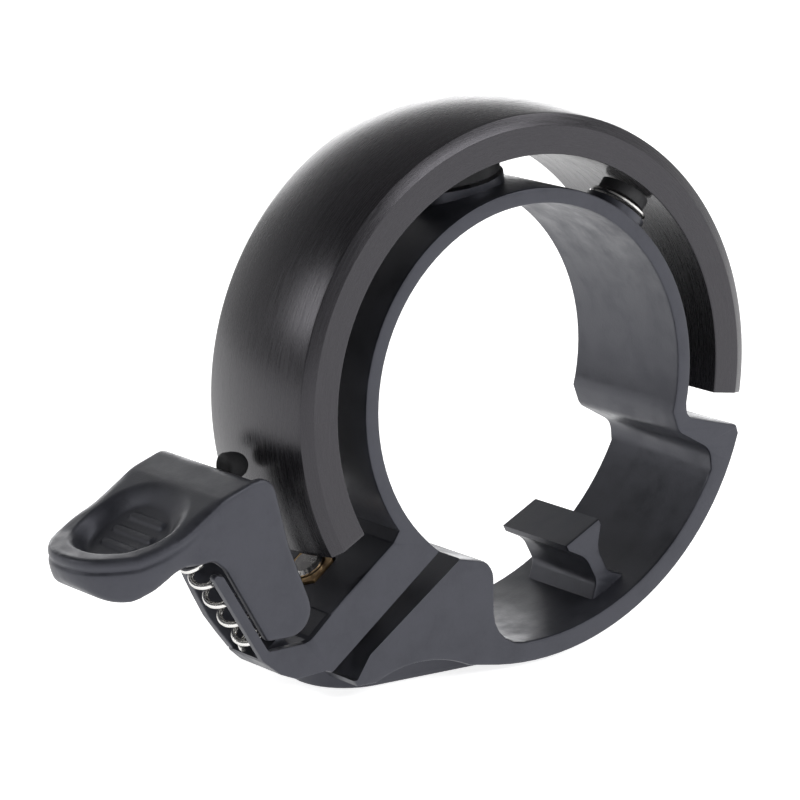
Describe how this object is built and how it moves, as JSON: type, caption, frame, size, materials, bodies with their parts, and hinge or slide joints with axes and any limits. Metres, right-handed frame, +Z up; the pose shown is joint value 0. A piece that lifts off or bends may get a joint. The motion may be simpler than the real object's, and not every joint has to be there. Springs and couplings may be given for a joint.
{
  "type": "bicycle bell",
  "caption": "Ring bell for a handlebar: an open black band round a hinged-lever clamp, struck by a small hammer when the thumb lever springs back.",
  "frame": {"origin": "on the axis of the handlebar bore, in the middle of the clamp's width", "axes": "+Y along the handlebar away from the lever's cheek plate, +Z up through the top of the band, +X away from the thumb lever"},
  "size_m": [0.0673, 0.0144, 0.0489],
  "materials": {
    "nylon": "matte dark blue-grey glass-filled nylon",
    "anodised": "black anodised, finely brushed round the band",
    "rubber": "matte black",
    "steel": "bright stainless",
    "brass": "plain turned"
  },
  "bodies": {
    "clamp": {"clamp_frame": "nylon", "ringer": "anodised", "mount_bush": "rubber", "mount_screw": "steel", "bumper_washer": "steel", "bumper": "rubber", "pivot_pin": "steel", "return_spring": "steel", "clamp_nut": "brass"},
    "lever": {"thumb_lever": "nylon"},
    "hammer": {"hammer_leaf": "steel", "hammer_head": "rubber"},
    "washer": {"screw_washer": "steel"},
    "screw": {"clamp_screw": "steel"}
  },
  "joints": [
    {"name": "lever_press", "type": "hinge", "parent": "clamp", "child": "lever", "pos_m": [-0.0293, 0, -0.0092], "axis": [0, -1, 0], "range_deg": [0, 10], "stiffness_Nm_per_rad": 0.08, "springref_deg": -5.73, "deforming": ["return_spring"]},
    {"name": "hammer_flex", "type": "hinge", "parent": "lever", "child": "hammer", "pos_m": [-0.02665, 0, -0.0083], "axis": [0, 1, 0], "range_deg": [-2, 3], "stiffness_Nm_per_rad": 0.002},
    {"name": "screw_travel", "type": "slide", "parent": "clamp", "child": "washer", "axis": [0.6157, 0, -0.788], "range_m": [0, 0.0015]},
    {"name": "screw_turn", "type": "hinge", "parent": "washer", "child": "screw", "pos_m": [-0.0183, 0, -0.0141], "axis": [0.6157, 0, -0.788], "range_deg": [0, 1081]}
  ],
  "couplings": [
    {"joint": "screw_turn", "follows": "screw_travel", "rad_per_m": 12566}
  ]
}
